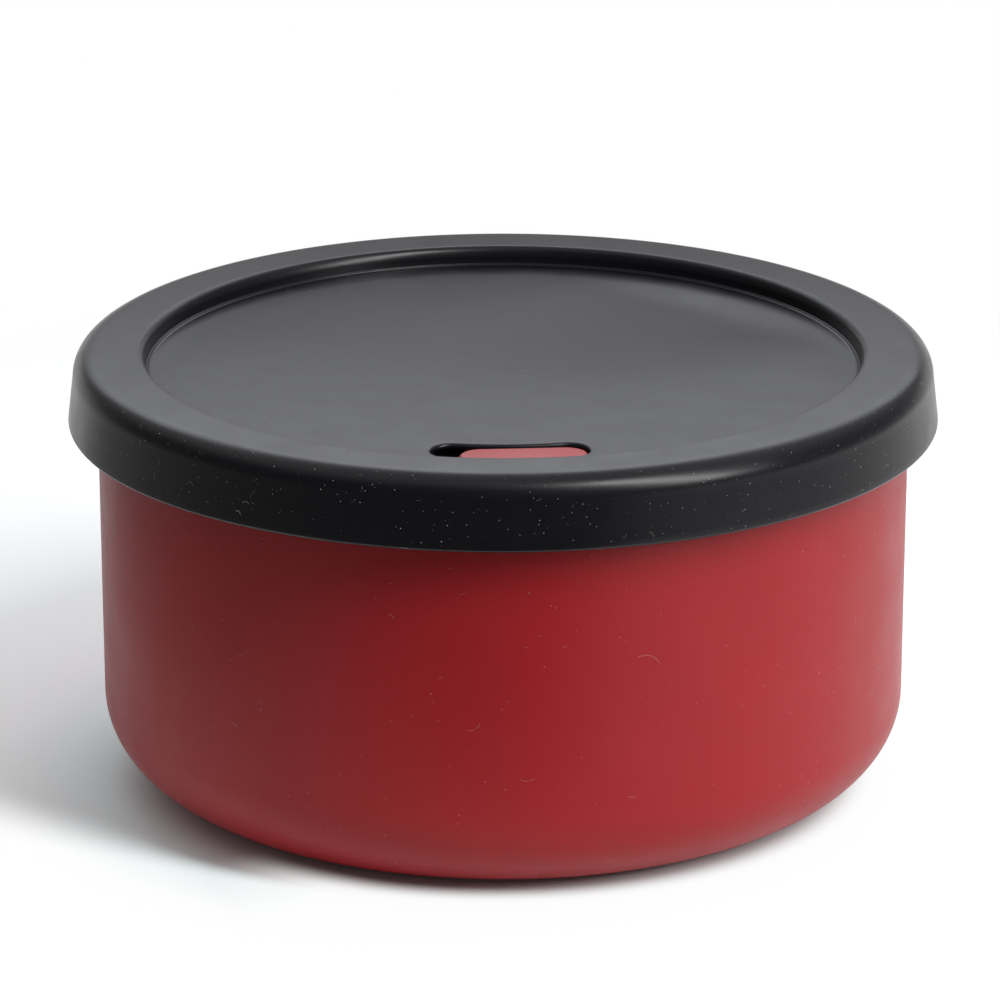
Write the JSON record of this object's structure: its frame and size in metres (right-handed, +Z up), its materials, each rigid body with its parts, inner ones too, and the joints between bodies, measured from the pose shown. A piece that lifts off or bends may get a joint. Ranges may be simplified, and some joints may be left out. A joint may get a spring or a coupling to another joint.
{
  "type": "food container",
  "caption": "Round moulded silicone food container: deep bowl with a rounded foot, push-on skirted lid with a recessed panel, and a vent slider in a curved slot.",
  "frame": {"origin": "centre of the flat base, on the surface that the bowl stands on", "axes": "+Z up along the bowl's axis, -Y towards the vent slot at the front, +X to the right as seen from the front"},
  "size_m": [0.15, 0.15, 0.0771],
  "materials": {
    "bowl_silicone": "matte moulded silicone, deep red",
    "lid_silicone": "matte moulded silicone, black",
    "slider_silicone": "matte moulded silicone, red"
  },
  "bodies": {
    "bowl": {"bowl": "bowl_silicone"},
    "lid": {"lid": "lid_silicone"},
    "vent_slider": {"vent_slider": "slider_silicone"}
  },
  "joints": [
    {"name": "lid_lift", "type": "slide", "parent": "bowl", "child": "lid", "axis": [0, 0, 1], "range_m": [0, 0.09]},
    {"name": "vent_slide", "type": "hinge", "parent": "lid", "child": "vent_slider", "pos_m": [0, 0, 0.0718], "axis": [0, 0, 1], "range_deg": [-5.2, 0]}
  ]
}
